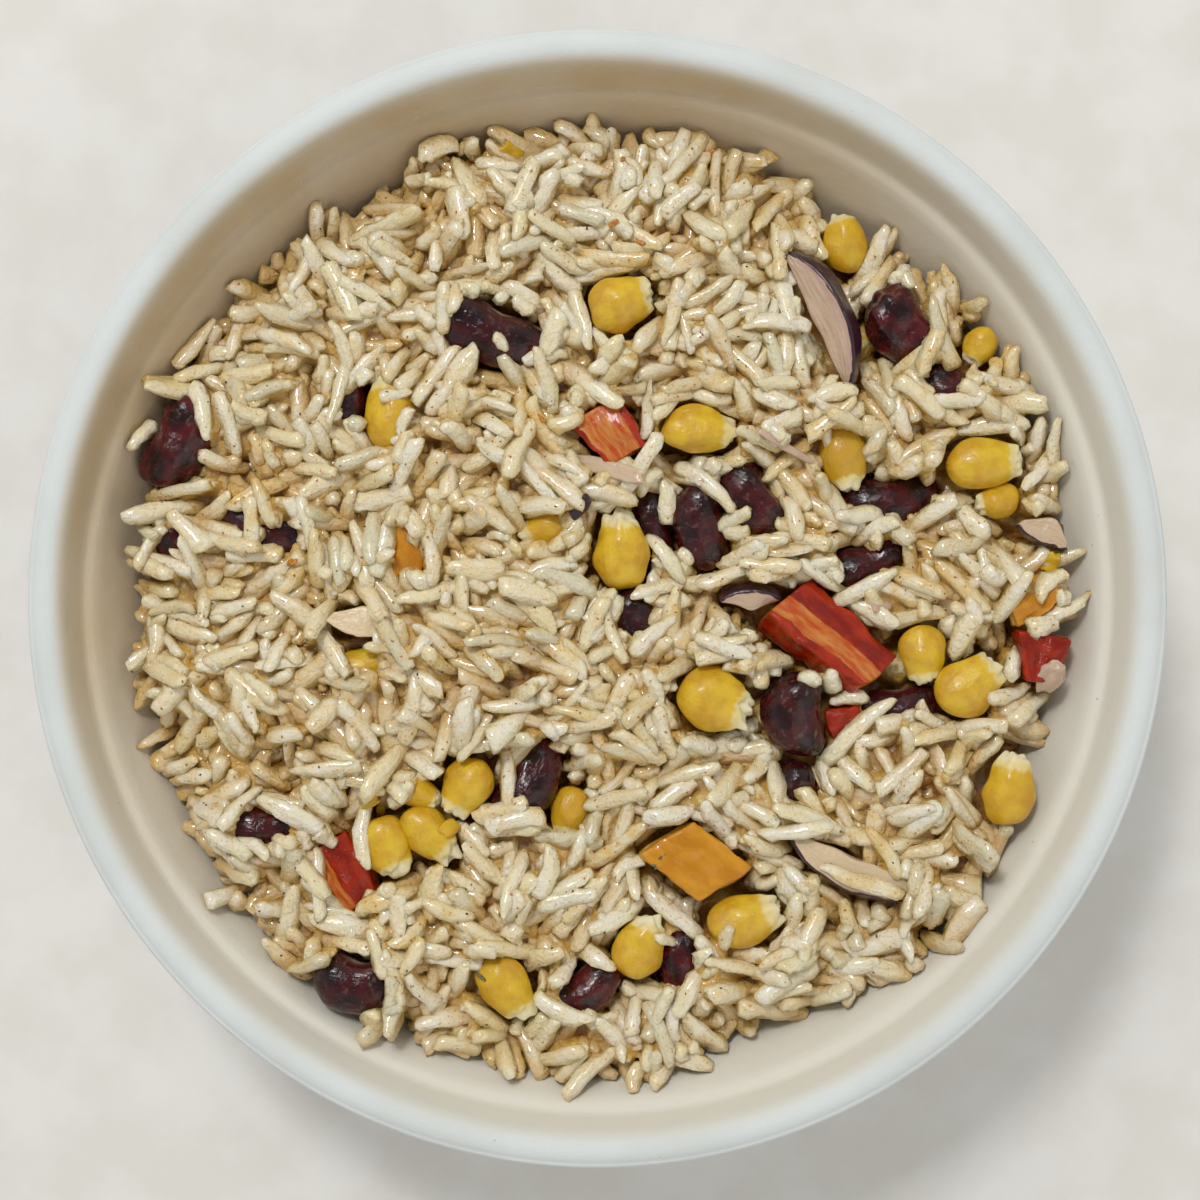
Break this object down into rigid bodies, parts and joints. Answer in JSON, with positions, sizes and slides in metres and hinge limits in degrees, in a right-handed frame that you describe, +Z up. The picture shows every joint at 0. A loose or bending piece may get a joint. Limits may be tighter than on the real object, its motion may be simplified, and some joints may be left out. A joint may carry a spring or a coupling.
{
  "type": "rice salad bowl",
  "caption": "Round moulded-fibre bowl with a foot ring and rolled rim, filled with a mound of rice salad with kidney beans, sweetcorn, diced peppers and red onion.",
  "frame": {"origin": "middle of the foot, on the table", "axes": "+Z up, +Y towards the far side of the bowl, the top of a view from straight above, and +X to the right in that view"},
  "size_m": [0.16, 0.16, 0.046],
  "materials": {
    "moulded_fibre": "matte moulded plant fibre",
    "rice": "moist boiled rice",
    "bean_skin": "glossy wet skin",
    "corn": "moist skin",
    "red_pepper": "moist cut flesh and skin",
    "orange_pepper": "moist cut flesh and skin",
    "onion": "moist translucent layer"
  },
  "bodies": {
    "root": {"bowl": "moulded_fibre", "rice": "rice", "bean_01": "bean_skin", "bean_02": "bean_skin", "bean_03": "bean_skin", "bean_04": "bean_skin", "bean_05": "bean_skin", "bean_06": "bean_skin", "bean_07": "bean_skin", "bean_08": "bean_skin", "bean_09": "bean_skin", "bean_10": "bean_skin", "bean_11": "bean_skin", "bean_12": "bean_skin", "bean_13": "bean_skin", "bean_14": "bean_skin", "bean_15": "bean_skin", "bean_16": "bean_skin", "bean_17": "bean_skin", "bean_18": "bean_skin", "bean_19": "bean_skin", "bean_20": "bean_skin", "bean_21": "bean_skin", "corn_01": "corn", "corn_02": "corn", "corn_03": "corn", "corn_04": "corn", "corn_05": "corn", "corn_06": "corn", "corn_07": "corn", "corn_08": "corn", "corn_09": "corn", "corn_10": "corn", "corn_11": "corn", "corn_12": "corn", "corn_13": "corn", "corn_14": "corn", "corn_15": "corn", "corn_16": "corn", "corn_17": "corn", "corn_18": "corn", "corn_19": "corn", "corn_20": "corn", "corn_21": "corn", "corn_22": "corn", "corn_23": "corn", "red_pepper_01": "red_pepper", "red_pepper_02": "red_pepper", "red_pepper_03": "red_pepper", "red_pepper_04": "red_pepper", "red_pepper_05": "red_pepper", "orange_pepper_01": "orange_pepper", "orange_pepper_02": "orange_pepper", "orange_pepper_03": "orange_pepper", "onion_01": "onion", "onion_02": "onion", "onion_03": "onion", "onion_04": "onion", "onion_05": "onion"}
  },
  "joints": []
}
